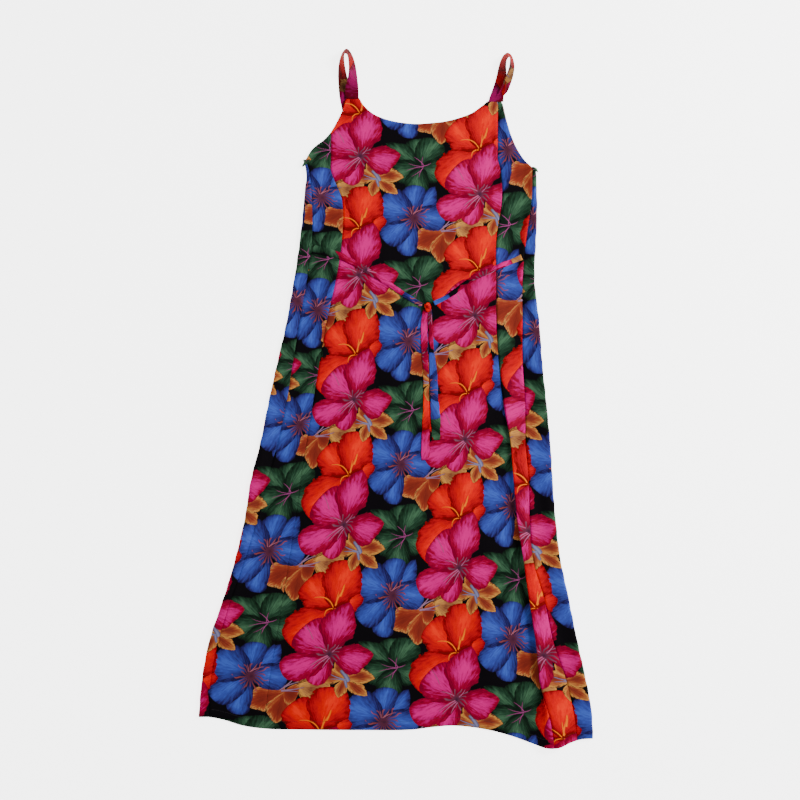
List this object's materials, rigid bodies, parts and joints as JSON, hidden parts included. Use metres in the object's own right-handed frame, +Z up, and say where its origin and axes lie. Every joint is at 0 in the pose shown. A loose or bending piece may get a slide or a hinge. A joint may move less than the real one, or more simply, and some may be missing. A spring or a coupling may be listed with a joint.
{
  "type": "maxi dress",
  "caption": "Sleeveless maxi dress with narrow straps, a scoop neck, princess seams and a waist tie in a large tropical flower print, laid flat with the front up.",
  "frame": {"origin": "on the floor, under the middle of the dress's box", "axes": "+Y from the hem to the straps, +Z up from the floor, +X to the viewer's right with the front up"},
  "size_m": [0.7879, 1.3981, 0.023],
  "materials": {
    "print_centre_front": "soft woven viscose with a large printed flower pattern, low sheen",
    "print_side_fronts": "soft woven viscose with a large printed flower pattern, low sheen",
    "print_back": "soft woven viscose with a large printed flower pattern, low sheen",
    "print_straps": "soft woven viscose with a large printed flower pattern, low sheen",
    "print_ties": "soft woven viscose with a large printed flower pattern, low sheen"
  },
  "bodies": {
    "root": {"centre_front": "print_centre_front", "side_front_left": "print_side_fronts", "side_front_right": "print_side_fronts", "back": "print_back", "strap_left": "print_straps", "strap_right": "print_straps", "tie_left": "print_ties", "tie_right": "print_ties", "tie_knot": "print_ties", "tie_tail_left": "print_ties", "tie_tail_right": "print_ties"}
  },
  "joints": []
}
